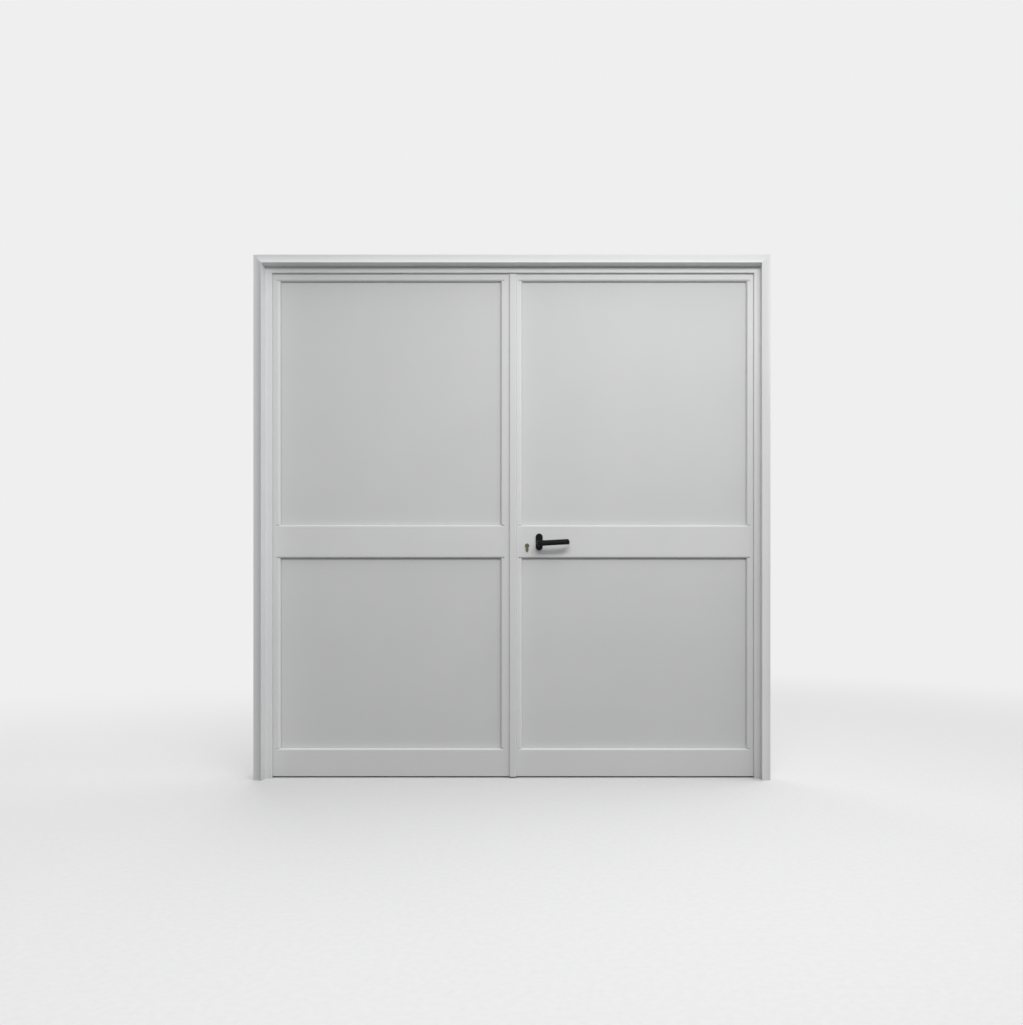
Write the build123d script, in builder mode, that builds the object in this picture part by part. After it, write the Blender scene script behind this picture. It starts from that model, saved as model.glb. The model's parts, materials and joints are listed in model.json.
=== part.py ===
from build123d import *
import os

# A white double door of aluminium extrusions, with its three sided frame.
# X runs right as seen from the front, Y runs back, Z runs up.
# The origin is on the floor, in the middle of the frame and of the leaf thickness.

# Overall sizes
frame_width = 2066
frame_height = 2100
leaf_thickness = 50
wall = 2

# Frame section, measured inward from the outer edge and back from the front
band_width = 35
band_rise = 10
band_hollow = 3.2
ridge_flat = 2
flange_lap = 22
reveal_depth = 44
stop_width = 25
stop_thickness = 8
stop_round = 3
seal_gap = 4
seal_clearance = 0.3

# Gaps round the leaves
leaf_lap = 11
edge_gap = 5
floor_gap = 6
meeting_gap = 7
meeting_offset = -8

# Leaf section
stile_width = 25
bead_width = 14
bottom_rail_height = 98
mid_rail_height = 106
mid_rail_centre = 956.5
fin_thickness = 3
bead_depth = 12
bead_wall = 2
bead_face = 7
bead_drop = 7
bead_bulge = 2.4
bead_joint = 0.1
gasket_outer = 7.7
gasket_inner = 13
front_gasket_thickness = 3
panel_thickness = 28
panel_edge_gap = 4
fin_clearance = 0.2
hardware_groove_width = 20.4
hardware_groove_depth = 3

# Rubber seals
seal_groove_width = 3
seal_groove_depth = 3
seal_foot_clearance = 0.1
seal_width = 5
seal_from_lip = 5.5

# Meeting strip
strip_width = 27
strip_top_gap = 4
carrier_thickness = 2.5
carrier_depth = 16

# Hinges
hinge_from_bottom = 224
hinge_from_top = 201
hinge_length = 100
hinge_middle = 34
knuckle_radius = 9
knuckle_clearance = 0.5
hinge_axis_back = 10
hinge_pin_radius = 4
hinge_running_clearance = 0.05
hinge_plate_thickness = 4
hinge_plate_width = 21
pin_head_height = 3

# Cleats at the corners of the frame and in the ends of the rails
cleat_leg = 70
cleat_clearance = 0.2
cleat_depth = 30
rail_cleat_length = 20
rail_cleat_wall = 4

# Wall fixings
fixing_from_end = 200
fixing_middle_spacing = 600
fixing_radius = 4.2

# Lock, lever and cylinder
spindle_below_middle = 10.5
spindle_backset = 110
spindle_size = 8
cylinder_backset = 60.8
cylinder_below_spindle = 6.5
cylinder_reach = 4
cylinder_head_radius = 8.5
cylinder_tail_width = 10
cylinder_tail_drop = 19.5
plug_radius = 6.5
keyway_width = 1.8
keyway_height = 8
cam_radius = 14
cam_width = 9
cam_slot = 10
bridge_height = 8
case_length = 132
case_rail_gap = 5
case_thickness = 15
case_wall = 1.5
case_clearance = 0.5
faceplate_thickness = 3
faceplate_width = 20
faceplate_height = 200
fit_clearance = 0.3
running_clearance = 0.1
follower_radius = 8
follower_arm = 15.56
follower_arm_radius = 3
follower_arm_thickness = 4
latch_throw = 11
latch_height = 16
latch_above_spindle = 15
latch_tail_height = 13
latch_tail_width = 10
latch_tail_end = 6
latch_slot_ahead = 7.5
latch_slot_behind = 3.8
latch_bevel_land = 1
dead_bolt_throw = 16
dead_bolt_height = 22
dead_bolt_below_cylinder = 5.5
lever_length = 125
lever_rise = 6.5
lever_reach = 62
lever_thickness = 13
lever_height = 22
lever_return = 20
lever_bend_radius = 12
neck_radius = 9
neck_overlap = 6
plate_width = 28
plate_height = 68
plate_above_spindle = 8.6
plate_thickness = 8
plate_round = 2.7
socket_depth = 26
spindle_end_gap = 1

# Shoot bolts on the back of the passive leaf
rod_radius = 5
rod_clearance = 0.3
rod_centre_back = 9
rod_from_edge = 21.5
rod_length = 170
rod_rest_gap = 2
top_throw = 18
bottom_rest = 20
bottom_throw = 19.5
guide_length = 110
guide_width = 22
guide_depth = 15
guide_from_end = 34
guide_bridge = 15
knob_radius = 6
knob_neck_radius = 4
knob_reach = 14
knob_thickness = 5
knob_clearance = 0.5
head_keeper_height = 18
head_keeper_width = 44
head_keeper_thickness = 3
head_keeper_boss = 16
head_keeper_rise = 1

# Levels front to back
leaf_front = -leaf_thickness / 2
leaf_rear = leaf_thickness / 2
lip_back = leaf_front - seal_gap
stop_face = lip_back - stop_thickness
ridge = stop_face - reveal_depth
band_edge = ridge + band_rise
wall_face = band_edge + wall
fin_front = leaf_rear - fin_thickness
bead_back = leaf_front + bead_depth
panel_front = bead_back + front_gasket_thickness
panel_rear = panel_front + panel_thickness

# Distances inward from the outer edge of the frame
lip_edge = band_width + stop_width
leaf_edge = lip_edge - leaf_lap
rebate_wall = leaf_edge - edge_gap

# Edges of the leaves
half_width = frame_width / 2
leaf_bottom = floor_gap
leaf_top = frame_height - leaf_edge
hinge_edge = half_width - leaf_edge
left_meeting_edge = meeting_offset - meeting_gap / 2
right_meeting_edge = meeting_offset + meeting_gap / 2
mid_rail_bottom = mid_rail_centre - mid_rail_height / 2
mid_rail_top = mid_rail_centre + mid_rail_height / 2
bottom_rail_top = leaf_bottom + bottom_rail_height
top_rail_bottom = leaf_top - stile_width
spindle_x = right_meeting_edge + spindle_backset
cylinder_x = right_meeting_edge + cylinder_backset
spindle_height = mid_rail_centre - spindle_below_middle
cylinder_height = spindle_height - cylinder_below_spindle
case_height = mid_rail_height - 2 * (wall + case_rail_gap)
case_bottom = mid_rail_bottom + wall + case_rail_gap
latch_centre = spindle_height + latch_above_spindle
dead_bolt_centre = cylinder_height - dead_bolt_below_cylinder
plate_centre = spindle_height + plate_above_spindle

# Levels of the hinges and of the wall fixings
hinge_low = leaf_bottom + hinge_from_bottom
hinge_high = leaf_top - hinge_from_top
hinge_heights = (hinge_low, (hinge_low + hinge_high) / 2, hinge_high)
fixing_heights = (
    fixing_from_end,
    (frame_height - fixing_middle_spacing) / 2,
    (frame_height + fixing_middle_spacing) / 2,
    frame_height - fixing_from_end,
)

os.makedirs("parts", exist_ok=True)


def save(part, name):
    part.label = name
    export_step(part, f"parts/{name}.step")


def edge_plane(origin, inward):
    """Plane of a section whose x axis points inward and whose y axis points back."""
    inward = Vector(*inward)
    return Plane(origin=origin, x_dir=inward, z_dir=inward.cross(Vector(0, 1, 0)))


def four_sides(x0, x1, z0, z1):
    """Start planes and lengths of sections along the four sides of an opening."""
    bottom = (edge_plane((x1, 0, z0), (0, 0, 1)), x1 - x0)
    top = (edge_plane((x0, 0, z1), (0, 0, -1)), x1 - x0)
    left = (edge_plane((x0, 0, z0), (1, 0, 0)), z1 - z0)
    right = (edge_plane((x1, 0, z1), (-1, 0, 0)), z1 - z0)
    return bottom, top, left, right


# Frame

def frame_section(plane):
    """Hollow frame section with its coved outer band, ridge, reveal and stop lip."""
    with BuildSketch(plane) as section:
        with BuildLine():
            SagittaArc((0, band_edge), (band_width - ridge_flat, ridge), band_hollow)
            Polyline(
                (band_width - ridge_flat, ridge),
                (band_width, ridge),
                (band_width, stop_face),
                (lip_edge - stop_round, stop_face),
            )
            JernArc((lip_edge - stop_round, stop_face), (1, 0), stop_round, 90)
            Polyline(
                (lip_edge, stop_face + stop_round),
                (lip_edge, lip_back),
                (rebate_wall, lip_back),
                (rebate_wall, leaf_rear),
                (flange_lap, leaf_rear),
                (flange_lap, wall_face),
                (0, wall_face),
                (0, band_edge),
            )
        make_face()
        # Chamber behind the reveal
        with BuildLine():
            Polyline(
                (flange_lap + wall, ridge + band_rise - wall),
                (band_width - wall, ridge + band_hollow),
                (band_width - wall, stop_face),
                (flange_lap + wall, stop_face),
                close=True,
            )
        make_face(mode=Mode.SUBTRACT)
        # Main chamber
        with BuildLine():
            Polyline(
                (flange_lap + wall, stop_face + wall),
                (rebate_wall - wall, stop_face + wall),
                (rebate_wall - wall, leaf_rear - wall),
                (flange_lap + wall, leaf_rear - wall),
                close=True,
            )
        make_face(mode=Mode.SUBTRACT)
        # Chamber in the stop lip
        with BuildLine():
            Polyline(
                (rebate_wall, stop_face + wall),
                (lip_edge - seal_from_lip - seal_groove_width, stop_face + wall),
                (lip_edge - seal_from_lip - seal_groove_width, lip_back - wall),
                (rebate_wall, lip_back - wall),
                close=True,
            )
        make_face(mode=Mode.SUBTRACT)
        # Groove that holds the seal
        with Locations((lip_edge - seal_from_lip, lip_back - seal_groove_depth / 2)):
            Rectangle(seal_groove_width, seal_groove_depth, mode=Mode.SUBTRACT)
    return section.sketch


def seal_section(plane, centre, base):
    """Rubber seal with a foot in its groove; centre across and base level along the back."""
    foot = seal_groove_depth - seal_foot_clearance
    body = seal_gap - seal_clearance
    with BuildSketch(plane) as section:
        with Locations((centre, base - foot / 2)):
            Rectangle(seal_groove_width - 2 * seal_foot_clearance, foot)
        with Locations((centre, base + body / 2)):
            Rectangle(seal_width, body)
    return section.sketch


def frame_sides(section):
    """Two uprights and a head of one section, cut to mitres at the top corners."""
    outer_left = edge_plane((-half_width, 0, 0), (1, 0, 0))
    outer_top = edge_plane((-half_width, 0, frame_height), (0, 0, -1))
    mitre = Plane(origin=(-half_width, 0, frame_height), x_dir=(0, 1, 0), z_dir=(1, 0, 1))
    mitre_right = Plane(origin=(half_width, 0, frame_height), x_dir=(0, 1, 0), z_dir=(-1, 0, 1))
    upright_face = section(outer_left)
    head_face = section(outer_top)
    with BuildPart() as upright:
        extrude(upright_face, amount=frame_height)
        split(bisect_by=mitre, keep=Keep.BOTTOM)
    with BuildPart() as head:
        extrude(head_face, amount=frame_width)
        split(bisect_by=mitre, keep=Keep.TOP)
        split(bisect_by=mitre_right, keep=Keep.TOP)
    return upright.part, head.part


jamb_blank, head_blank = frame_sides(frame_section)

with BuildPart() as jamb_left:
    add(jamb_blank)
    with BuildSketch(Plane.YZ.offset(-half_width)):
        with Locations(*[(0, z) for z in fixing_heights]):
            Circle(fixing_radius)
    extrude(amount=lip_edge, mode=Mode.SUBTRACT)
save(jamb_left.part, "jamb_left")

with BuildPart() as jamb_right:
    mirror(jamb_left.part, about=Plane.YZ)
save(jamb_right.part, "jamb_right")

with BuildPart() as frame_head:
    add(head_blank)
save(frame_head.part, "frame_head")

# Angle cleats that join the mitres inside the main chamber
cleat_u0 = flange_lap + wall + cleat_clearance
cleat_u1 = rebate_wall - wall - cleat_clearance
with BuildPart() as frame_corner_cleats:
    with BuildSketch(Plane.XZ.offset(-(leaf_rear - wall - cleat_clearance))):
        with BuildLine():
            Polyline(
                (cleat_u0 - half_width, frame_height - cleat_u0),
                (cleat_u0 - half_width + cleat_leg, frame_height - cleat_u0),
                (cleat_u0 - half_width + cleat_leg, frame_height - cleat_u1),
                (cleat_u1 - half_width, frame_height - cleat_u1),
                (cleat_u1 - half_width, frame_height - cleat_u0 - cleat_leg),
                (cleat_u0 - half_width, frame_height - cleat_u0 - cleat_leg),
                close=True,
            )
        make_face()
    extrude(amount=cleat_depth)
    mirror(about=Plane.YZ)
save(frame_corner_cleats.part, "frame_corner_cleats")


def frame_seal_section(plane):
    return seal_section(plane, lip_edge - seal_from_lip, lip_back)


seal_upright, seal_head = frame_sides(frame_seal_section)
with BuildPart() as frame_gasket:
    add(seal_head)
    add(seal_upright)
    mirror(seal_upright, about=Plane.YZ)
save(frame_gasket.part, "frame_gasket")


# Hinges

def hinge_knuckles(x, heights, bore_radius):
    """Barrel lengths about a hinge axis; each height is a centre and a length."""
    with BuildPart() as knuckles:
        for centre, length in heights:
            with BuildSketch(Plane.XY.offset(centre - length / 2)):
                with Locations((x, leaf_rear + hinge_axis_back)):
                    Circle(knuckle_radius)
                    Circle(bore_radius, mode=Mode.SUBTRACT)
            extrude(amount=length)
    return knuckles.part


def hinge_plate(x_near, direction, height, x_axis, cut_heights, cut_radius):
    """Flat leaf of a hinge on the back face, cleared round the other half's barrel."""
    axis_y = leaf_rear + hinge_axis_back
    with BuildPart() as plate:
        with BuildSketch(Plane.XY.offset(height - hinge_length / 2)):
            with Locations((x_near + direction * hinge_plate_width / 2, leaf_rear)):
                Rectangle(
                    hinge_plate_width,
                    hinge_plate_thickness,
                    align=(Align.CENTER, Align.MIN),
                )
            # Web that carries the barrel
            with BuildLine():
                Polyline(
                    (x_near, leaf_rear),
                    (x_near + direction * knuckle_radius, leaf_rear + hinge_plate_thickness),
                    (x_axis + direction * (knuckle_radius - wall), axis_y),
                    (x_axis, axis_y),
                    close=True,
                )
            make_face()
        extrude(amount=hinge_length)
        with BuildSketch(Plane.XY.offset(height - hinge_length / 2)):
            with Locations((x_axis, axis_y)):
                Circle(hinge_pin_radius + wall)
        extrude(amount=hinge_length, mode=Mode.SUBTRACT)
        for centre, length in cut_heights:
            with BuildSketch(Plane.XY.offset(centre - length / 2)):
                with Locations((x_axis, axis_y)):
                    Circle(cut_radius)
            extrude(amount=length, mode=Mode.SUBTRACT)
    return plate.part


def hinge_set(side):
    """Frame halves, leaf halves and pins of one leaf's three hinges."""
    x_axis = side * (hinge_edge + edge_gap / 2)
    end = (hinge_length - hinge_middle) / 2
    bore = hinge_pin_radius + hinge_running_clearance
    clear = knuckle_radius + knuckle_clearance
    gap = knuckle_clearance
    on_frame = []
    on_leaf = []
    for z in hinge_heights:
        middle = [(z, hinge_middle)]
        ends = [
            (z - (hinge_middle + end) / 2, end + gap),
            (z + (hinge_middle + end) / 2, end + gap),
        ]
        near = side * (hinge_edge + edge_gap)
        on_frame.append(hinge_plate(near, side, z, x_axis, ends, clear))
        on_frame.append(hinge_knuckles(x_axis, middle, bore))
        middle = [(z, hinge_middle + 2 * gap)]
        ends = [
            (z - (hinge_middle + end + gap) / 2, end - gap),
            (z + (hinge_middle + end + gap) / 2, end - gap),
        ]
        near = side * hinge_edge
        on_leaf.append(hinge_plate(near, -side, z, x_axis, middle, clear))
        on_leaf.append(hinge_knuckles(x_axis, ends, bore))
    with BuildPart() as frame_halves:
        add(on_frame)
    with BuildPart() as leaf_halves:
        add(on_leaf)
    with BuildPart() as pins:
        for z in hinge_heights:
            with BuildSketch(Plane.XY.offset(z - hinge_length / 2)):
                with Locations((x_axis, leaf_rear + hinge_axis_back)):
                    Circle(hinge_pin_radius)
            extrude(amount=hinge_length + gap)
            with BuildSketch(Plane.XY.offset(z + hinge_length / 2 + gap)):
                with Locations((x_axis, leaf_rear + hinge_axis_back)):
                    Circle(knuckle_radius - gap)
            extrude(amount=pin_head_height)
    return frame_halves.part, leaf_halves.part, pins.part


for side, name in ((-1, "left"), (1, "right")):
    frame_halves, leaf_halves, pins = hinge_set(side)
    save(frame_halves, f"{name}_hinge_frame_halves")
    save(leaf_halves, f"{name}_hinge_leaf_halves")
    save(pins, f"{name}_hinge_pins")


# Leaves

def stile(x_edge, direction):
    """Hollow upright of a leaf, with a groove for ironmongery along its edge."""
    half_groove = hardware_groove_width / 2
    inner = stile_width - wall
    with BuildPart() as upright:
        plane = Plane(
            origin=(x_edge, 0, leaf_bottom), x_dir=(direction, 0, 0), z_dir=(0, 0, direction)
        )
        with BuildSketch(plane):
            with BuildLine():
                Polyline(
                    (0, leaf_front),
                    (stile_width, leaf_front),
                    (stile_width, fin_front),
                    (stile_width + bead_width, fin_front),
                    (stile_width + bead_width, leaf_rear),
                    (0, leaf_rear),
                    (0, half_groove),
                    (hardware_groove_depth, half_groove),
                    (hardware_groove_depth, -half_groove),
                    (0, -half_groove),
                    close=True,
                )
            make_face()
            with BuildLine():
                Polyline(
                    (wall, leaf_front + wall),
                    (inner, leaf_front + wall),
                    (inner, leaf_rear - wall),
                    (wall, leaf_rear - wall),
                    (wall, half_groove + wall),
                    (hardware_groove_depth + wall, half_groove + wall),
                    (hardware_groove_depth + wall, -half_groove - wall),
                    (wall, -half_groove - wall),
                    close=True,
                )
            make_face(mode=Mode.SUBTRACT)
        extrude(amount=direction * (leaf_top - leaf_bottom))
    return upright.part


def rail(x0, x1, z0, height, fin_below, fin_above):
    """Hollow rail between the stiles, milled at both ends to pass the stile fins."""
    notch = bead_width + fin_clearance
    with BuildPart() as bar:
        with BuildSketch(edge_plane((x1, 0, z0), (0, 0, 1))):
            with Locations((height / 2, 0)):
                Rectangle(height, leaf_thickness)
            with Locations((0, leaf_rear)):
                if fin_below:
                    Rectangle(bead_width, fin_thickness, align=(Align.MAX, Align.MAX))
            with Locations((height, leaf_rear)):
                if fin_above:
                    Rectangle(bead_width, fin_thickness, align=(Align.MIN, Align.MAX))
            with Locations((height / 2, 0)):
                Rectangle(height - 2 * wall, leaf_thickness - 2 * wall, mode=Mode.SUBTRACT)
        extrude(amount=x1 - x0)
        for x, side in ((x0, Align.MIN), (x1, Align.MAX)):
            with Locations((x, fin_front - fin_clearance, z0 - bead_width)):
                Box(
                    notch,
                    fin_thickness + fin_clearance,
                    height + 2 * bead_width,
                    align=(side, Align.MIN, Align.MIN),
                    mode=Mode.SUBTRACT,
                )
    return bar.part


def bead(plane, length):
    """Snap-in bead with a rounded inner edge, open at its back."""
    shoulder = leaf_front + bead_drop
    inner = bead_width - bead_wall
    with BuildPart() as strip:
        with BuildSketch(plane):
            with BuildLine():
                Line((0, leaf_front), (bead_face, leaf_front))
                ThreePointArc(
                    (bead_face, leaf_front),
                    (inner, leaf_front + bead_bulge),
                    (bead_width, shoulder),
                )
                Polyline(
                    (bead_width, shoulder),
                    (bead_width, bead_back),
                    (bead_face, bead_back),
                    (bead_face, bead_back - bead_wall),
                    (inner, bead_back - bead_wall),
                    (inner, shoulder),
                    (bead_face, leaf_front + bead_wall),
                    (bead_wall, leaf_front + bead_wall),
                    (bead_wall, bead_back),
                    (0, bead_back),
                    (0, leaf_front),
                )
            make_face()
        extrude(amount=length)
    return strip.part


def bead_set(x0, x1, z0, z1):
    """Four beads of an opening: full width ones above and below, short ones between."""
    between = bead_width + bead_joint
    bottom, top, _, _ = four_sides(x0, x1, z0, z1)
    _, _, left, right = four_sides(x0, x1, z0 + between, z1 - between)
    strips = [bead(plane, length) for plane, length in (bottom, top, left, right)]
    with BuildPart() as beads:
        add(strips)
    return beads.part


def panel(x0, x1, z0, z1):
    """Flat infill panel held between the beads and the fins."""
    with BuildPart() as infill:
        with BuildSketch(Plane.XZ.offset(-panel_rear)):
            with Locations(((x0 + x1) / 2, (z0 + z1) / 2)):
                Rectangle(x1 - x0 - 2 * panel_edge_gap, z1 - z0 - 2 * panel_edge_gap)
        extrude(amount=panel_thickness)
    return infill.part


def panel_gaskets(x0, x1, z0, z1):
    """Front and back gasket rings that press on the panel."""
    width, height = x1 - x0, z1 - z0
    with BuildPart() as rings:
        for rear_level, thickness in (
            (panel_front, front_gasket_thickness),
            (fin_front, fin_front - panel_rear),
        ):
            with BuildSketch(Plane.XZ.offset(-rear_level)):
                with Locations(((x0 + x1) / 2, (z0 + z1) / 2)):
                    Rectangle(width - 2 * gasket_outer, height - 2 * gasket_outer)
                    Rectangle(
                        width - 2 * gasket_inner, height - 2 * gasket_inner, mode=Mode.SUBTRACT
                    )
            extrude(amount=thickness)
    return rings.part


def rail_cleats(x0, x1, z0, height, ends):
    """Hollow blocks in the ends of a rail, by which the stiles are screwed on."""
    depth = leaf_thickness - wall - fin_thickness - 3 * cleat_clearance
    tall = height - 2 * wall - 2 * cleat_clearance
    with BuildPart() as blocks:
        for x in [(x0, x1 - rail_cleat_length)[end] for end in ends]:
            with BuildSketch(Plane.YZ.offset(x)):
                with Locations((fin_front - 2 * cleat_clearance - depth / 2, z0 + height / 2)):
                    Rectangle(depth, tall)
                    Rectangle(
                        depth - 2 * rail_cleat_wall,
                        tall - 2 * rail_cleat_wall,
                        mode=Mode.SUBTRACT,
                    )
            extrude(amount=rail_cleat_length)
    return blocks.part


leaf_edges = {
    "left": (-hinge_edge, left_meeting_edge),
    "right": (right_meeting_edge, hinge_edge),
}
rails_of = {}
stiles_of = {}
for name, (x_low, x_high) in leaf_edges.items():
    x0, x1 = x_low + stile_width, x_high - stile_width
    low_stile, high_stile = stile(x_low, 1), stile(x_high, -1)
    stiles_of[name] = (high_stile, low_stile) if name == "left" else (low_stile, high_stile)
    save(stiles_of[name][1], f"{name}_hinge_stile")
    save(rail(x0, x1, top_rail_bottom, stile_width, True, False), f"{name}_top_rail")
    rails_of[name] = rail(x0, x1, mid_rail_bottom, mid_rail_height, True, True)
    save(rail(x0, x1, leaf_bottom, bottom_rail_height, False, True), f"{name}_bottom_rail")
    openings = {
        "upper": (x0, x1, mid_rail_top, top_rail_bottom),
        "lower": (x0, x1, bottom_rail_top, mid_rail_bottom),
    }
    for place, opening in openings.items():
        save(panel(*opening), f"{name}_{place}_panel")
        save(bead_set(*opening), f"{name}_{place}_beads")
        save(panel_gaskets(*opening), f"{name}_{place}_gaskets")
    # The lock fills one end of the right mid rail, so no block fits there
    mid_ends = (0, 1) if name == "left" else (1,)
    blocks = [
        rail_cleats(x0, x1, leaf_bottom, bottom_rail_height, (0, 1)),
        rail_cleats(x0, x1, mid_rail_bottom, mid_rail_height, mid_ends),
        rail_cleats(x0, x1, top_rail_bottom, stile_width, (0, 1)),
    ]
    with BuildPart() as cleats:
        add(blocks)
    save(cleats.part, f"{name}_rail_cleats")

save(rails_of["left"], "left_mid_rail")


# Meeting strip

strip_low = -strip_width / 2
strip_high = strip_width / 2
strip_seal_centre = strip_high - seal_from_lip
strip_top = frame_height - lip_edge - strip_top_gap

# Hollow cover bar that lies over the gap between the leaves
with BuildPart() as meeting_strip:
    with BuildSketch(Plane.XY.offset(leaf_bottom)):
        with BuildLine():
            Line((strip_low + stop_round, stop_face), (strip_high - stop_round, stop_face))
            JernArc((strip_high - stop_round, stop_face), (1, 0), stop_round, 90)
            Polyline(
                (strip_high, stop_face + stop_round),
                (strip_high, lip_back),
                (left_meeting_edge, lip_back),
                (left_meeting_edge, leaf_front),
                (strip_low, leaf_front),
                (strip_low, stop_face + stop_round),
            )
            JernArc((strip_low, stop_face + stop_round), (0, -1), stop_round, 90)
        make_face()
        with BuildLine():
            Polyline(
                (strip_low + wall, stop_face + wall),
                (strip_seal_centre - seal_groove_width, stop_face + wall),
                (strip_seal_centre - seal_groove_width, lip_back - wall),
                (strip_low + wall, lip_back - wall),
                close=True,
            )
        make_face(mode=Mode.SUBTRACT)
        with Locations((strip_seal_centre, lip_back - seal_groove_depth / 2)):
            Rectangle(seal_groove_width, seal_groove_depth, mode=Mode.SUBTRACT)
    extrude(amount=strip_top - leaf_bottom)
save(meeting_strip.part, "meeting_strip")

# Flat bar on the edge of the passive leaf that carries the cover bar
with BuildPart() as meeting_strip_carrier:
    with BuildSketch(Plane.XY.offset(leaf_bottom)):
        with Locations((left_meeting_edge, lip_back)):
            Rectangle(carrier_thickness, carrier_depth, align=(Align.MIN, Align.MIN))
    extrude(amount=strip_top - leaf_bottom)
save(meeting_strip_carrier.part, "meeting_strip_carrier")

strip_plane = Plane(origin=(0, 0, leaf_bottom), x_dir=(1, 0, 0), z_dir=(0, 0, 1))
strip_seal_face = seal_section(strip_plane, strip_seal_centre, lip_back)
with BuildPart() as meeting_strip_seal:
    extrude(strip_seal_face, amount=strip_top - leaf_bottom)
save(meeting_strip_seal.part, "meeting_strip_seal")


# Lock in the end of the right mid rail

case_front = right_meeting_edge + hardware_groove_depth
case_back = case_front + case_length
case_centre = case_bottom + case_height / 2
half_case = case_thickness / 2
bolt_width = case_thickness - 2 * case_wall - 2 * fit_clearance


def cylinder_outline(clearance):
    """Keyhole shaped cylinder outline, drawn in the current sketch."""
    with Locations((cylinder_x, cylinder_height)):
        Circle(cylinder_head_radius + clearance)
    with Locations((cylinder_x, cylinder_height - cylinder_tail_drop)):
        Circle(cylinder_tail_width / 2 + clearance)
    with Locations((cylinder_x, cylinder_height - cylinder_tail_drop / 2)):
        Rectangle(cylinder_tail_width + 2 * clearance, cylinder_tail_drop)


with BuildPart() as lock_case:
    with BuildSketch(Plane.XZ.offset(-(half_case - case_wall))):
        with Locations(((case_front + case_back) / 2, case_centre)):
            Rectangle(case_length, case_height)
    extrude(amount=case_thickness - case_wall)
    with BuildSketch(Plane.XZ.offset(-(half_case - case_wall))):
        with Locations(((case_front + case_back) / 2, case_centre)):
            Rectangle(case_length - 2 * case_wall, case_height - 2 * case_wall)
    extrude(amount=case_thickness - 2 * case_wall, mode=Mode.SUBTRACT)
    with BuildSketch(Plane.XZ.offset(half_case)):
        cylinder_outline(fit_clearance)
        with Locations((spindle_x, spindle_height)):
            Circle(follower_radius + running_clearance)
    extrude(amount=-case_thickness, mode=Mode.SUBTRACT)
    for centre, height, width in (
        (latch_centre, latch_height, bolt_width),
        (dead_bolt_centre, dead_bolt_height, bolt_width),
    ):
        with Locations((case_front, 0, centre)):
            Box(
                4 * case_wall,
                width + 2 * fit_clearance,
                height + 2 * fit_clearance,
                mode=Mode.SUBTRACT,
            )
save(lock_case.part, "lock_case")

with BuildPart() as lock_cover:
    with BuildSketch(Plane.XZ.offset(-half_case)):
        with Locations(((case_front + case_back) / 2, case_centre)):
            Rectangle(case_length, case_height)
        with Locations((spindle_x, spindle_height)):
            Circle(follower_radius + running_clearance, mode=Mode.SUBTRACT)
    extrude(amount=case_wall)
    with BuildSketch(Plane.XZ.offset(-half_case)):
        cylinder_outline(fit_clearance)
    extrude(amount=case_wall, mode=Mode.SUBTRACT)
save(lock_cover.part, "lock_cover")


def bolt_plate(x_outer, direction, clearance):
    """Edge plate with windows for the latch and the dead bolt."""
    with BuildPart() as plate:
        with BuildSketch(Plane.YZ.offset(x_outer)):
            with Locations((0, case_centre)):
                RectangleRounded(faceplate_width, faceplate_height, faceplate_width / 2 - 1)
            for centre, height, width in (
                (latch_centre, latch_height, bolt_width),
                (dead_bolt_centre, dead_bolt_height, bolt_width),
            ):
                with Locations((0, centre)):
                    Rectangle(
                        width + 2 * clearance, height + 2 * clearance, mode=Mode.SUBTRACT
                    )
        extrude(amount=direction * faceplate_thickness)
    return plate.part


save(bolt_plate(right_meeting_edge, 1, fit_clearance), "lock_faceplate")
save(bolt_plate(left_meeting_edge, -1, 2 * fit_clearance), "lock_keeper")

# Latch with a bevel on its closing side, and a slotted tail for the follower arm
latch_tip = right_meeting_edge - latch_throw
latch_shoulder = case_front + 4 * case_wall
tail_end = spindle_x + follower_arm_radius + latch_tail_end
tail_bottom = spindle_height + follower_radius + 2 * fit_clearance
with BuildPart() as latch_bolt:
    with BuildSketch(Plane.XY.offset(latch_centre - latch_height / 2)):
        with BuildLine():
            Polyline(
                (latch_tip, bolt_width / 2),
                (latch_tip, bolt_width / 4),
                (right_meeting_edge - latch_bevel_land, -bolt_width / 2),
                (latch_shoulder, -bolt_width / 2),
                (latch_shoulder, bolt_width / 2),
                close=True,
            )
        make_face()
    extrude(amount=latch_height)
    with BuildSketch(Plane.XZ.offset(-latch_tail_width / 2)):
        with BuildLine():
            Polyline(
                (latch_shoulder, tail_bottom),
                (tail_end, tail_bottom),
                (tail_end, tail_bottom + latch_tail_height),
                (latch_shoulder, tail_bottom + latch_tail_height),
                close=True,
            )
        make_face()
    extrude(amount=latch_tail_width)
    slot_start = spindle_x - latch_slot_ahead
    slot_end = spindle_x + latch_slot_behind
    with Locations(((slot_start + slot_end) / 2, 0, tail_bottom)):
        Box(
            slot_end - slot_start,
            follower_arm_thickness + 2 * fit_clearance,
            2 * (follower_arm + follower_arm_radius - follower_radius),
            align=(Align.CENTER, Align.CENTER, Align.CENTER),
            mode=Mode.SUBTRACT,
        )
save(latch_bolt.part, "latch_bolt")

dead_bolt_back = cylinder_x - cam_radius - 2 * fit_clearance
with BuildPart() as dead_bolt:
    with Locations((right_meeting_edge, 0, dead_bolt_centre)):
        Box(
            dead_bolt_back - right_meeting_edge,
            bolt_width,
            dead_bolt_height,
            align=(Align.MIN, Align.CENTER, Align.CENTER),
        )
save(dead_bolt.part, "dead_bolt")

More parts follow.
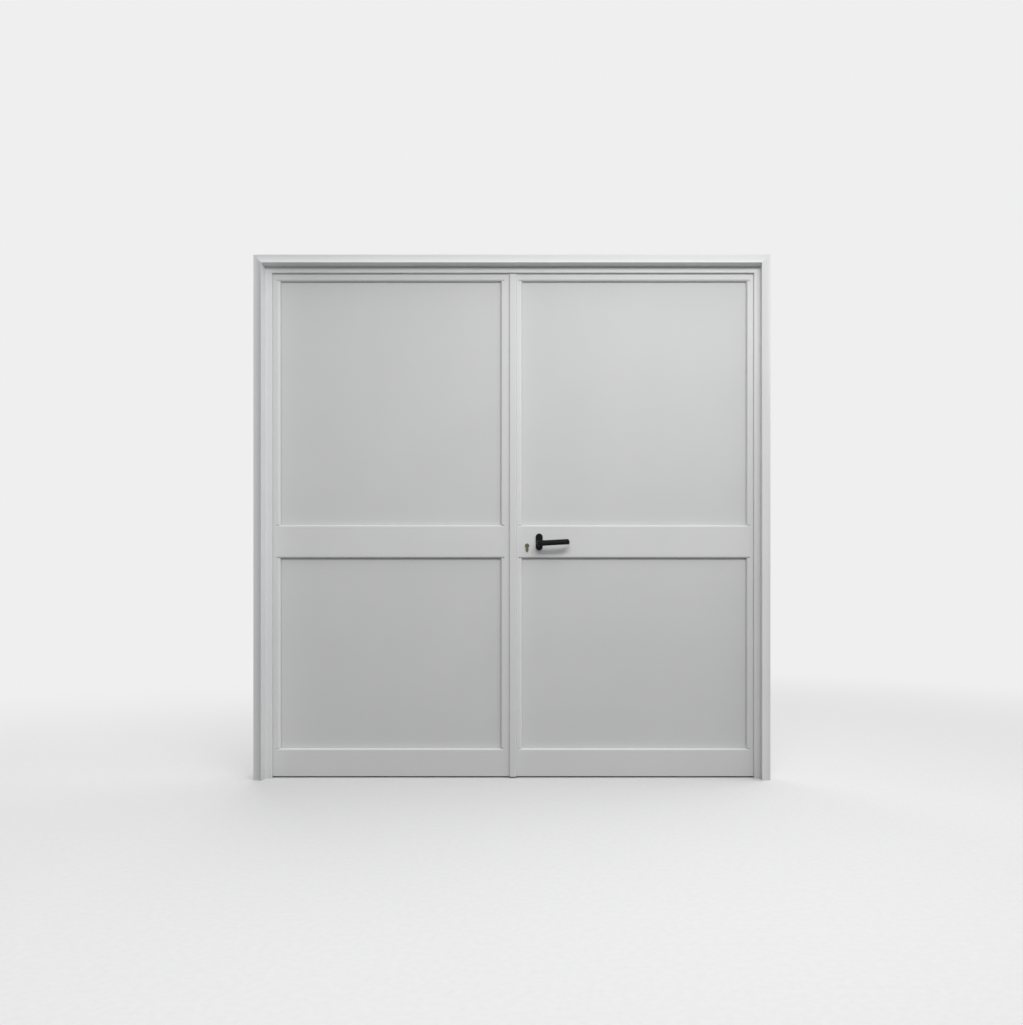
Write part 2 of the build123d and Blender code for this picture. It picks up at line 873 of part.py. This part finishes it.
with BuildPart() as lock_follower:
    with BuildSketch(Plane.XZ.offset(-half_case)):
        with Locations((spindle_x, spindle_height)):
            Circle(follower_radius)
            Rectangle(spindle_size, spindle_size, mode=Mode.SUBTRACT)
    extrude(amount=case_thickness)
    with BuildSketch(Plane.XZ.offset(-follower_arm_thickness / 2)):
        with Locations((spindle_x, spindle_height + (follower_radius + follower_arm) / 2)):
            Rectangle(2 * follower_arm_radius, follower_arm - follower_radius + 2 * case_wall)
        with Locations((spindle_x, spindle_height + follower_arm)):
            Circle(follower_arm_radius)
    extrude(amount=follower_arm_thickness)
save(lock_follower.part, "lock_follower")

# Cylinder through both faces of the leaf
half_cylinder = leaf_thickness / 2 + cylinder_reach
with BuildPart() as cylinder_body:
    with BuildSketch(Plane.XZ.offset(-half_cylinder)):
        cylinder_outline(0)
        with Locations((cylinder_x, cylinder_height)):
            Circle(plug_radius + hinge_running_clearance, mode=Mode.SUBTRACT)
    extrude(amount=2 * half_cylinder)
    with Locations((cylinder_x, 0, cylinder_height - cylinder_head_radius)):
        Box(
            2 * cam_radius,
            cam_slot,
            2 * cam_radius + cylinder_head_radius,
            align=(Align.CENTER, Align.CENTER, Align.CENTER),
            mode=Mode.SUBTRACT,
        )
    # Bridge below the cam that holds the two halves together
    with Locations((cylinder_x, 0, cylinder_height - cylinder_tail_drop)):
        Box(
            cylinder_tail_width,
            cam_slot,
            bridge_height,
            align=(Align.CENTER, Align.CENTER, Align.CENTER),
        )
save(cylinder_body.part, "cylinder_body")

with BuildPart() as cylinder_plugs:
    for start in (-half_cylinder, cam_width / 2):
        with BuildSketch(Plane.XZ.offset(-(start + half_cylinder - cam_width / 2))):
            with Locations((cylinder_x, cylinder_height)):
                Circle(plug_radius)
        extrude(amount=half_cylinder - cam_width / 2)
    for face in (-half_cylinder, half_cylinder):
        with Locations((cylinder_x, face, cylinder_height)):
            Box(keyway_width, 2 * keyway_height, keyway_height, mode=Mode.SUBTRACT)
save(cylinder_plugs.part, "cylinder_plugs")

with BuildPart() as cylinder_cam:
    with BuildSketch(Plane.XZ.offset(-cam_width / 2)):
        with Locations((cylinder_x, cylinder_height)):
            Circle(plug_radius)
        with Locations((cylinder_x, cylinder_height)):
            Rectangle(plug_radius, cam_radius - 1, align=(Align.CENTER, Align.MIN))
    extrude(amount=cam_width)
save(cylinder_cam.part, "cylinder_cam")


# Handles

def handle_plate(outer):
    """Oval plate with a domed rim; outer is the sign of the face it lies on."""
    with BuildPart() as plate:
        base = Plane(origin=(spindle_x, outer * leaf_thickness / 2, plate_centre),
                     x_dir=(1, 0, 0), z_dir=(0, outer, 0))
        with BuildSketch(base):
            SlotOverall(plate_height, plate_width, rotation=90)
        extrude(amount=plate_thickness)
        fillet(plate.edges().group_by(Axis.Y)[-1 if outer > 0 else 0], plate_round)
        with Locations(Plane(origin=(spindle_x, 0, spindle_height), z_dir=(0, outer, 0))):
            Cylinder(
                neck_radius + running_clearance,
                4 * plate_thickness + leaf_thickness,
                mode=Mode.SUBTRACT,
            )
    return plate.part


save(handle_plate(-1), "handle_plate_front")
save(handle_plate(1), "handle_plate_rear")

grip_level = leaf_thickness / 2 + lever_reach - lever_thickness / 2
neck_start = leaf_thickness / 2 + fit_clearance
with BuildPart() as lever_front:
    with BuildLine() as lever_path:
        FilletPolyline(
            (spindle_x, -neck_start - plate_thickness, spindle_height),
            (spindle_x, -grip_level, spindle_height),
            (spindle_x + lever_length - lever_thickness / 2, -grip_level,
             spindle_height + lever_rise),
            (spindle_x + lever_length - lever_thickness / 2, -grip_level + lever_return,
             spindle_height + lever_rise),
            radius=lever_bend_radius,
        )
    with BuildSketch(Plane(origin=(spindle_x, -neck_start - plate_thickness, spindle_height),
                           x_dir=(1, 0, 0), z_dir=(0, -1, 0))):
        Ellipse(lever_thickness / 2, lever_height / 2)
    sweep(path=lever_path.line)
    with Locations(Plane(origin=(spindle_x, -neck_start, spindle_height), z_dir=(0, -1, 0))):
        Cylinder(
            neck_radius,
            plate_thickness + neck_overlap,
            align=(Align.CENTER, Align.CENTER, Align.MIN),
        )
    with Locations((spindle_x, -neck_start, spindle_height)):
        Box(
            spindle_size,
            2 * socket_depth,
            spindle_size,
            mode=Mode.SUBTRACT,
        )
save(lever_front.part, "lever_front")

with BuildPart() as lever_rear:
    mirror(lever_front.part, about=Plane.XZ)
save(lever_rear.part, "lever_rear")

with BuildPart() as spindle:
    with Locations((spindle_x, 0, spindle_height)):
        Box(
            spindle_size,
            2 * (neck_start + socket_depth - spindle_end_gap),
            spindle_size,
        )
save(spindle.part, "spindle")


# Members of the right leaf that the lock passes through

with BuildPart() as right_meeting_stile:
    add(stiles_of["right"][0])
    with Locations((right_meeting_edge, 0, case_centre)):
        Box(
            4 * stile_width,
            case_thickness + 2 * case_clearance,
            case_height + 2 * case_clearance,
            mode=Mode.SUBTRACT,
        )
save(right_meeting_stile.part, "right_meeting_stile")

with BuildPart() as right_mid_rail:
    add(rails_of["right"])
    with BuildSketch(Plane.XZ.offset(-leaf_thickness)):
        cylinder_outline(fit_clearance)
        with Locations((spindle_x, spindle_height)):
            Circle(neck_radius + running_clearance)
    extrude(amount=2 * leaf_thickness, mode=Mode.SUBTRACT)
save(right_mid_rail.part, "right_mid_rail")

# The passive leaf has pockets for the two bolts behind the keeper plate
with BuildPart() as left_meeting_stile:
    add(stiles_of["left"][0])
    for centre, height, width in (
        (latch_centre, latch_height, bolt_width),
        (dead_bolt_centre, dead_bolt_height, bolt_width),
    ):
        with Locations((left_meeting_edge, 0, centre)):
            Box(
                2 * (dead_bolt_throw - meeting_gap + wall),
                width + 4 * fit_clearance,
                height + 4 * fit_clearance,
                mode=Mode.SUBTRACT,
            )
save(left_meeting_stile.part, "left_meeting_stile")


# Shoot bolts

rod_x = left_meeting_edge - rod_from_edge
rod_y = leaf_rear + rod_centre_back
top_rest = frame_height - rebate_wall - rod_rest_gap


def bolt_guide(z0):
    """Channel on the back of the stile in which a shoot bolt slides."""
    with BuildPart() as guide:
        with BuildSketch(Plane.XY.offset(z0)):
            with Locations((rod_x, leaf_rear)):
                Rectangle(guide_width, guide_depth, align=(Align.CENTER, Align.MIN))
            with Locations((rod_x, rod_y)):
                Circle(rod_radius + rod_clearance, mode=Mode.SUBTRACT)
        extrude(amount=guide_length)
        with Locations((rod_x, rod_y, z0 + guide_length / 2)):
            Box(
                2 * (knob_radius + knob_clearance),
                2 * guide_depth,
                guide_length - 2 * guide_bridge,
                align=(Align.CENTER, Align.MIN, Align.CENTER),
                mode=Mode.SUBTRACT,
            )
    return guide.part


def shoot_bolt(z0, knob_z):
    """Round bolt with a turned knob that stands out through the guide's slot."""
    with BuildPart() as bolt:
        with BuildSketch(Plane.XY.offset(z0)):
            with Locations((rod_x, rod_y)):
                Circle(rod_radius)
        extrude(amount=rod_length)
        with BuildSketch(Plane.XZ.offset(-rod_y)):
            with Locations((rod_x, knob_z)):
                Circle(knob_neck_radius)
        extrude(amount=-knob_reach)
        with BuildSketch(Plane.XZ.offset(-(rod_y + knob_reach - knob_thickness))):
            with Locations((rod_x, knob_z)):
                Circle(knob_radius)
        extrude(amount=-knob_thickness)
    return bolt.part


top_guide_start = leaf_top - guide_from_end - guide_length
bottom_guide_start = leaf_bottom + guide_from_end
save(bolt_guide(top_guide_start), "top_bolt_guide")
save(bolt_guide(bottom_guide_start), "bottom_bolt_guide")
save(
    shoot_bolt(top_rest - rod_length, top_guide_start + guide_length / 2 - top_throw / 2),
    "top_bolt",
)
save(
    shoot_bolt(bottom_rest, bottom_guide_start + guide_length / 2 + bottom_throw / 2),
    "bottom_bolt",
)

with BuildPart() as head_bolt_keeper:
    with BuildSketch(Plane.XY.offset(frame_height - rebate_wall + head_keeper_rise)):
        with Locations((rod_x, leaf_rear)):
            Rectangle(
                head_keeper_width, head_keeper_thickness, align=(Align.CENTER, Align.MIN)
            )
            Rectangle(guide_width, head_keeper_boss, align=(Align.CENTER, Align.MIN))
        with Locations((rod_x, rod_y)):
            Circle(rod_radius + rod_clearance, mode=Mode.SUBTRACT)
    extrude(amount=head_keeper_height)
save(head_bolt_keeper.part, "head_bolt_keeper")
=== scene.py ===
import json
import math
import bpy
import bmesh
from mathutils import Matrix, Vector


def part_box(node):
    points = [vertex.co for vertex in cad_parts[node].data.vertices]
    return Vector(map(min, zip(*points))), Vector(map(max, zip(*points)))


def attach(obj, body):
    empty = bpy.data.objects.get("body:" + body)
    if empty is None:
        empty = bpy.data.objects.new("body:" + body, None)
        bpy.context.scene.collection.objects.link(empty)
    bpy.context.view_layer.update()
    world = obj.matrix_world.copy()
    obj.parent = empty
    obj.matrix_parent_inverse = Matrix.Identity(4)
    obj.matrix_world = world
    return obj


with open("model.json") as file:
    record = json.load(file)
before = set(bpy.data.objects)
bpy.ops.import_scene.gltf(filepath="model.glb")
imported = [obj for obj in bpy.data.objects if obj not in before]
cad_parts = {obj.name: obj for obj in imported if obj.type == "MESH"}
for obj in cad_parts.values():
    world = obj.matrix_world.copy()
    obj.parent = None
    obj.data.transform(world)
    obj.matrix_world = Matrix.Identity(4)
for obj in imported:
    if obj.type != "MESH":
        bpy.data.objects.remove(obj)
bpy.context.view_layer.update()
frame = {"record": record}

# Materials


def new_material(name):
    """A node material with one principled shader; returns its tree and shader."""
    material = bpy.data.materials.new(name)
    material.use_nodes = True
    nodes = material.node_tree.nodes
    links = material.node_tree.links
    shader = nodes["Principled BSDF"]
    return material, nodes, links, shader


def noise(nodes, links, scale, detail, stretch=(1, 1, 1)):
    """Noise in object space, in metres, stretched along an axis."""
    place = nodes.new("ShaderNodeTexCoord")
    mapping = nodes.new("ShaderNodeMapping")
    mapping.inputs["Scale"].default_value = stretch
    texture = nodes.new("ShaderNodeTexNoise")
    texture.inputs["Scale"].default_value = scale
    texture.inputs["Detail"].default_value = detail
    links.new(place.outputs["Object"], mapping.inputs["Vector"])
    links.new(mapping.outputs["Vector"], texture.inputs["Vector"])
    return texture.outputs["Fac"]


def spread(nodes, links, source, low, high):
    """Maps noise round its middle to a range of values."""
    remap = nodes.new("ShaderNodeMapRange")
    remap.inputs["From Min"].default_value = 0.3
    remap.inputs["From Max"].default_value = 0.7
    remap.inputs["To Min"].default_value = low
    remap.inputs["To Max"].default_value = high
    links.new(source, remap.inputs["Value"])
    return remap.outputs["Result"]


def mix_colours(nodes, links, source, dark, light):
    """Blends two colours by noise."""
    blend = nodes.new("ShaderNodeMix")
    blend.data_type = "RGBA"
    blend.inputs["A"].default_value = (*dark, 1)
    blend.inputs["B"].default_value = (*light, 1)
    links.new(spread(nodes, links, source, 0, 1), blend.inputs["Factor"])
    return blend.outputs["Result"]


def finish_material(
    name, dark, light, rough, metallic, grain, relief, stretch=(1, 1, 1), soften=0, shine=0.5
):
    """Coated or metal surface: slow colour drift, fine grain, rounded edges."""
    material, nodes, links, shader = new_material(name)
    drift = noise(nodes, links, 3, 3)
    fine = noise(nodes, links, grain, 4, stretch)
    links.new(mix_colours(nodes, links, drift, dark, light), shader.inputs["Base Color"])
    links.new(spread(nodes, links, fine, *rough), shader.inputs["Roughness"])
    shader.inputs["Metallic"].default_value = metallic
    shader.inputs["Specular IOR Level"].default_value = shine
    bump = nodes.new("ShaderNodeBump")
    bump.inputs["Strength"].default_value = 0.4
    bump.inputs["Distance"].default_value = relief
    links.new(fine, bump.inputs["Height"])
    if soften:
        rounding = nodes.new("ShaderNodeBevel")
        rounding.samples = 4
        rounding.inputs["Radius"].default_value = soften
        links.new(rounding.outputs["Normal"], bump.inputs["Normal"])
    links.new(bump.outputs["Normal"], shader.inputs["Normal"])
    return material


white = finish_material(
    "white_powder_coat", (0.83, 0.833, 0.84), (0.86, 0.862, 0.867),
    (0.34, 0.44), 0, 900, 0.00003, soften=0.0006,
)
panel_white = finish_material(
    "white_panel_sheet", (0.765, 0.768, 0.774), (0.79, 0.792, 0.797),
    (0.5, 0.58), 0, 500, 0.00003,
)
black = finish_material(
    "black_lever_coat", (0.003, 0.003, 0.0035), (0.006, 0.006, 0.0065),
    (0.26, 0.38), 0, 1400, 0.00004, soften=0.0006, shine=0.12,
)
brass = finish_material(
    "dark_brass", (0.12, 0.108, 0.07), (0.18, 0.163, 0.108),
    (0.3, 0.45), 0.7, 1500, 0.00003, soften=0.0003,
)
steel = finish_material(
    "brushed_steel", (0.42, 0.42, 0.43), (0.56, 0.56, 0.56),
    (0.25, 0.42), 1, 1200, 0.00003, (1, 1, 0.04), soften=0.0003,
)
zinc = finish_material(
    "zinc_screws", (0.5, 0.5, 0.49), (0.62, 0.62, 0.61), (0.25, 0.4), 1, 1500, 0.00002,
)
rubber = finish_material(
    "black_seal_rubber", (0.014, 0.014, 0.014), (0.026, 0.026, 0.026),
    (0.6, 0.75), 0, 700, 0.00006,
)
aluminium = finish_material(
    "mill_aluminium", (0.58, 0.58, 0.59), (0.7, 0.7, 0.71),
    (0.3, 0.45), 1, 900, 0.00003, (0.05, 1, 1),
)

slot_materials = {
    "white_frame": white,
    "white_panel": panel_white,
    "black_handle": black,
    "dark_brass": brass,
    "lock_steel": steel,
    "seal_rubber": rubber,
    "cleat_aluminium": aluminium,
}
for part in frame["record"]["subparts"]:
    node = bpy.data.objects.get(part["node"])
    node.data.materials.clear()
    node.data.materials.append(slot_materials[part["material_slot"]])


# Screws


def middle(low, high, axis):
    """Middle of a box along one axis."""
    return (low[axis] + high[axis]) / 2


# Screw head from the recess outward: share of the radius, share of the height, lobed or round
head_profile = (
    (0.02, -0.35, False),
    (0.36, -0.35, True),
    (0.4, 1.0, True),
    (0.72, 0.86, False),
    (0.93, 0.45, False),
    (1, 0, False),
)
head_rise = 0.22
head_steps = 36
lobes = 6
lobe_depth = 0.16


def screw_heads(name, body, material, radius, places, normal):
    """Low screw heads with six lobed recesses; each place is the centre of a head's foot."""
    turn = Vector((0, 0, 1)).rotation_difference(Vector(normal)).to_matrix().to_4x4()
    mesh = bmesh.new()
    for place in places:
        rings = []
        for across, up, lobed in head_profile:
            ring = []
            for i in range(head_steps):
                angle = 2 * math.pi * i / head_steps
                reach = radius * across
                if lobed:
                    reach *= 1 + lobe_depth * math.cos(lobes * angle)
                height = radius * head_rise * up
                point = Vector((reach * math.cos(angle), reach * math.sin(angle), height))
                ring.append(mesh.verts.new(Matrix.Translation(place) @ turn @ point))
            rings.append(ring)
        for low, high in zip(rings, rings[1:]):
            for i in range(head_steps):
                j = (i + 1) % head_steps
                mesh.faces.new((low[i], low[j], high[j], high[i]))
        mesh.faces.new(reversed(rings[0]))
        mesh.faces.new(rings[-1])
    bmesh.ops.recalc_face_normals(mesh, faces=mesh.faces)
    data = bpy.data.meshes.new(name)
    mesh.to_mesh(data)
    mesh.free()
    data.materials.append(material)
    piece = bpy.data.objects.new(name, data)
    bpy.context.scene.collection.objects.link(piece)
    for polygon in data.polygons:
        polygon.use_smooth = False
    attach(piece, body)


hinge_screw_radius = 0.0038
faceplate_screw_radius = 0.0035
cylinder_screw_radius = 0.0022
small_screw_radius = 0.003

# Screws in the hinge plates, three to a plate
hinge_length = 0.1
hinge_plate_thickness = 0.004
hinge_screw_margin = 0.0065
hinge_screw_spacing = 0.038
for side, name in ((-1, "left"), (1, "right")):
    for half, body, inward in (("frame", "frame", -side), ("leaf", f"{name}_leaf", side)):
        low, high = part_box(f"{name}_hinge_{half}_halves")
        plate_edge = low[0] if inward > 0 else high[0]
        lowest = low[2] + hinge_length / 2
        highest = high[2] - hinge_length / 2
        places = [
            (plate_edge + inward * hinge_screw_margin, low[1] + hinge_plate_thickness, z + shift)
            for z in (lowest, (lowest + highest) / 2, highest)
            for shift in (-hinge_screw_spacing, 0, hinge_screw_spacing)
        ]
        screw_heads(
            f"{name}_hinge_{half}_screws", body, white, hinge_screw_radius,
            places, (0, 1, 0),
        )

# Screws of the lock, its cylinder and the keeper
lock_low, lock_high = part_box("lock_faceplate")
lock_edge = lock_low[0]
lock_screw_end = 0.011
lock_screw_levels = (lock_low[2] + lock_screw_end, lock_high[2] - lock_screw_end)
keeper_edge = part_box("lock_keeper")[1][0]
cylinder_screw_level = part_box("cylinder_body")[0][2] + 0.0045
screw_heads(
    "lock_faceplate_screws", "right_leaf", zinc, faceplate_screw_radius,
    [(lock_edge, 0, z) for z in lock_screw_levels], (-1, 0, 0),
)
screw_heads(
    "cylinder_fixing_screw", "right_leaf", zinc, cylinder_screw_radius,
    [(lock_edge, 0, cylinder_screw_level)], (-1, 0, 0),
)
screw_heads(
    "lock_keeper_screws", "left_leaf", zinc, faceplate_screw_radius,
    [(keeper_edge, 0, z) for z in lock_screw_levels], (1, 0, 0),
)

# Screws of the strip's carrier, halfway up its foot in the leaf's edge
carrier_low, carrier_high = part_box("meeting_strip_carrier")
leaf_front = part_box("left_meeting_stile")[0][1]
carrier_line = (leaf_front + carrier_high[1]) / 2
carrier_screws = 7
carrier_screw_end = 0.074
carrier_screw_spacing = (
    (carrier_high[2] - carrier_low[2] - 2 * carrier_screw_end) / (carrier_screws - 1)
)
carrier_levels = [
    carrier_low[2] + carrier_screw_end + carrier_screw_spacing * i for i in range(carrier_screws)
]
screw_heads(
    "strip_carrier_screws", "left_leaf", zinc, small_screw_radius,
    [(carrier_high[0], carrier_line, z) for z in carrier_levels], (1, 0, 0),
)

# Screws of the bolt guides, of the head keeper and of the rear handle plate
guide_screw_end = 0.0075
for name in ("top", "bottom"):
    low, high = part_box(f"{name}_bolt_guide")
    levels = (low[2] + guide_screw_end, high[2] - guide_screw_end)
    screw_heads(
        f"{name}_guide_screws", "left_leaf", white, small_screw_radius,
        [(middle(low, high, 0), high[1], z) for z in levels], (0, 1, 0),
    )
low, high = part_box("head_bolt_keeper")
head_keeper_thickness = 0.003
head_keeper_half_spacing = 0.0165
screw_heads(
    "head_keeper_screws", "frame", zinc, small_screw_radius,
    [
        (middle(low, high, 0) + shift, low[1] + head_keeper_thickness, middle(low, high, 2))
        for shift in (-head_keeper_half_spacing, head_keeper_half_spacing)
    ],
    (0, 1, 0),
)
low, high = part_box("handle_plate_rear")
plate_half_spacing = 0.026
screw_heads(
    "rear_plate_screws", "right_leaf", black, faceplate_screw_radius,
    [
        (middle(low, high, 0), high[1], middle(low, high, 2) + shift)
        for shift in (-plate_half_spacing, plate_half_spacing)
    ],
    (0, 1, 0),
)

# Floor


def seen_directly(nodes, links):
    """One for camera, mirror and glass rays, nought for the light that falls on things."""
    rays = nodes.new("ShaderNodeLightPath")
    total = rays.outputs["Is Camera Ray"]
    for kind in ("Is Glossy Ray", "Is Transmission Ray"):
        join = nodes.new("ShaderNodeMath")
        join.operation = "MAXIMUM"
        links.new(total, join.inputs[0])
        links.new(rays.outputs[kind], join.inputs[1])
        total = join.outputs["Value"]
    return total


floor_half = 14
fade_start = 2.2
fade_end = 5.0
backdrop_colour = (0.863, 0.863, 0.863, 1)
floor_data = bpy.data.meshes.new("floor")
floor_data.from_pydata(
    [(-floor_half, -floor_half, 0), (floor_half, -floor_half, 0),
     (floor_half, floor_half, 0), (-floor_half, floor_half, 0)],
    [], [(0, 1, 2, 3)],
)
floor = bpy.data.objects.new("floor", floor_data)
bpy.context.scene.collection.objects.link(floor)
floor_material, floor_nodes, floor_links, floor_shader = new_material("pale_floor")
floor_grain = noise(floor_nodes, floor_links, 60, 5)
floor_links.new(
    mix_colours(floor_nodes, floor_links, floor_grain, (0.8, 0.8, 0.8), (0.83, 0.83, 0.83)),
    floor_shader.inputs["Base Color"],
)
floor_shader.inputs["Roughness"].default_value = 0.9
# Away from the door the seen floor turns into the backdrop
floor_place = floor_nodes.new("ShaderNodeTexCoord")
floor_distance = floor_nodes.new("ShaderNodeVectorMath")
floor_distance.operation = "LENGTH"
floor_links.new(floor_place.outputs["Object"], floor_distance.inputs[0])
floor_range = floor_nodes.new("ShaderNodeMapRange")
floor_range.interpolation_type = "SMOOTHSTEP"
floor_range.inputs["From Min"].default_value = fade_start
floor_range.inputs["From Max"].default_value = fade_end
floor_links.new(floor_distance.outputs["Value"], floor_range.inputs["Value"])
floor_glow = floor_nodes.new("ShaderNodeEmission")
floor_glow.inputs["Color"].default_value = backdrop_colour
floor_glow.inputs["Strength"].default_value = 1
floor_fade = floor_nodes.new("ShaderNodeMixShader")
floor_links.new(floor_range.outputs["Result"], floor_fade.inputs["Fac"])
floor_links.new(floor_shader.outputs["BSDF"], floor_fade.inputs[1])
floor_links.new(floor_glow.outputs["Emission"], floor_fade.inputs[2])
floor_material.cycles.emission_sampling = "NONE"
dull = floor_nodes.new("ShaderNodeBsdfDiffuse")
dull.inputs["Color"].default_value = (0.12, 0.12, 0.12, 1)
floor_mix = floor_nodes.new("ShaderNodeMixShader")
floor_links.new(seen_directly(floor_nodes, floor_links), floor_mix.inputs["Fac"])
floor_links.new(dull.outputs["BSDF"], floor_mix.inputs[1])
floor_links.new(floor_fade.outputs["Shader"], floor_mix.inputs[2])
floor_links.new(floor_mix.outputs["Shader"], floor_nodes["Material Output"].inputs["Surface"])
floor_data.materials.append(floor_material)

# Light

sky_horizon = 0.31
sky_overhead = 1.05
sky_ground = 0.15
sky_bias = 0.9
sky_edge = 0.03


def area_light(name, place, target, power, width, height):
    data = bpy.data.lights.new(name, "AREA")
    data.shape = "RECTANGLE"
    data.size = width
    data.size_y = height
    data.energy = power
    light = bpy.data.objects.new(name, data)
    light.location = place
    light.rotation_euler = (Vector(target) - Vector(place)).to_track_quat("-Z", "Y").to_euler()
    bpy.context.scene.collection.objects.link(light)


key_place = (0.8, -2.6, 2.6)
key_target = (0.1, 0, 1.7)
rear_place = (-2.5, 4.5, 3.8)
rear_target = (0, 0, 1.0)
area_light("key", key_place, key_target, power=35, width=2.0, height=0.5)
area_light("rear", rear_place, rear_target, power=60, width=3, height=3)

# Overcast sky: brightest overhead and to the right, dark below the horizon
world = bpy.data.worlds.new("sky")
bpy.context.scene.world = world
world.use_nodes = True
world_nodes = world.node_tree.nodes
world_links = world.node_tree.links
direction = world_nodes.new("ShaderNodeTexCoord")
parts = world_nodes.new("ShaderNodeSeparateXYZ")
world_links.new(direction.outputs["Generated"], parts.inputs["Vector"])
levels = []
for axis, low, high, dark, bright in (
    ("Z", 0.0, 1.0, sky_horizon, sky_overhead),
    ("X", -1.0, 1.0, 1 - sky_bias, 1 + sky_bias),
    ("Z", -sky_edge, sky_edge, sky_ground, 1.0),
):
    remap = world_nodes.new("ShaderNodeMapRange")
    remap.inputs["From Min"].default_value = low
    remap.inputs["From Max"].default_value = high
    remap.inputs["To Min"].default_value = dark
    remap.inputs["To Max"].default_value = bright
    world_links.new(parts.outputs[axis], remap.inputs["Value"])
    levels.append(remap.outputs["Result"])
strength = levels[0]
for level in levels[1:]:
    product = world_nodes.new("ShaderNodeMath")
    product.operation = "MULTIPLY"
    world_links.new(strength, product.inputs[0])
    world_links.new(level, product.inputs[1])
    strength = product.outputs["Value"]
sky = world_nodes["Background"]
sky.inputs["Color"].default_value = (1, 1, 1, 1)
world_links.new(strength, sky.inputs["Strength"])
backdrop = world_nodes.new("ShaderNodeBackground")
backdrop.inputs["Color"].default_value = backdrop_colour
backdrop.inputs["Strength"].default_value = 1
choose = world_nodes.new("ShaderNodeMixShader")
world_links.new(seen_directly(world_nodes, world_links), choose.inputs["Fac"])
world_links.new(sky.outputs["Background"], choose.inputs[1])
world_links.new(backdrop.outputs["Background"], choose.inputs[2])
world_links.new(choose.outputs["Shader"], world_nodes["World Output"].inputs["Surface"])

# Camera

camera_data = bpy.data.cameras.new("camera")
camera_data.sensor_fit = "HORIZONTAL"
camera_data.sensor_width = 36
camera_data.lens = 29.9
camera_data.shift_x = -0.098
camera_data.shift_y = 0.076
camera = bpy.data.objects.new("camera", camera_data)
camera.location = (0.399, -3.466, 0.759)
camera.rotation_euler = (math.pi / 2, 0, 0)
bpy.context.scene.collection.objects.link(camera)
bpy.context.scene.camera = camera
bpy.context.scene.view_settings.view_transform = "Standard"
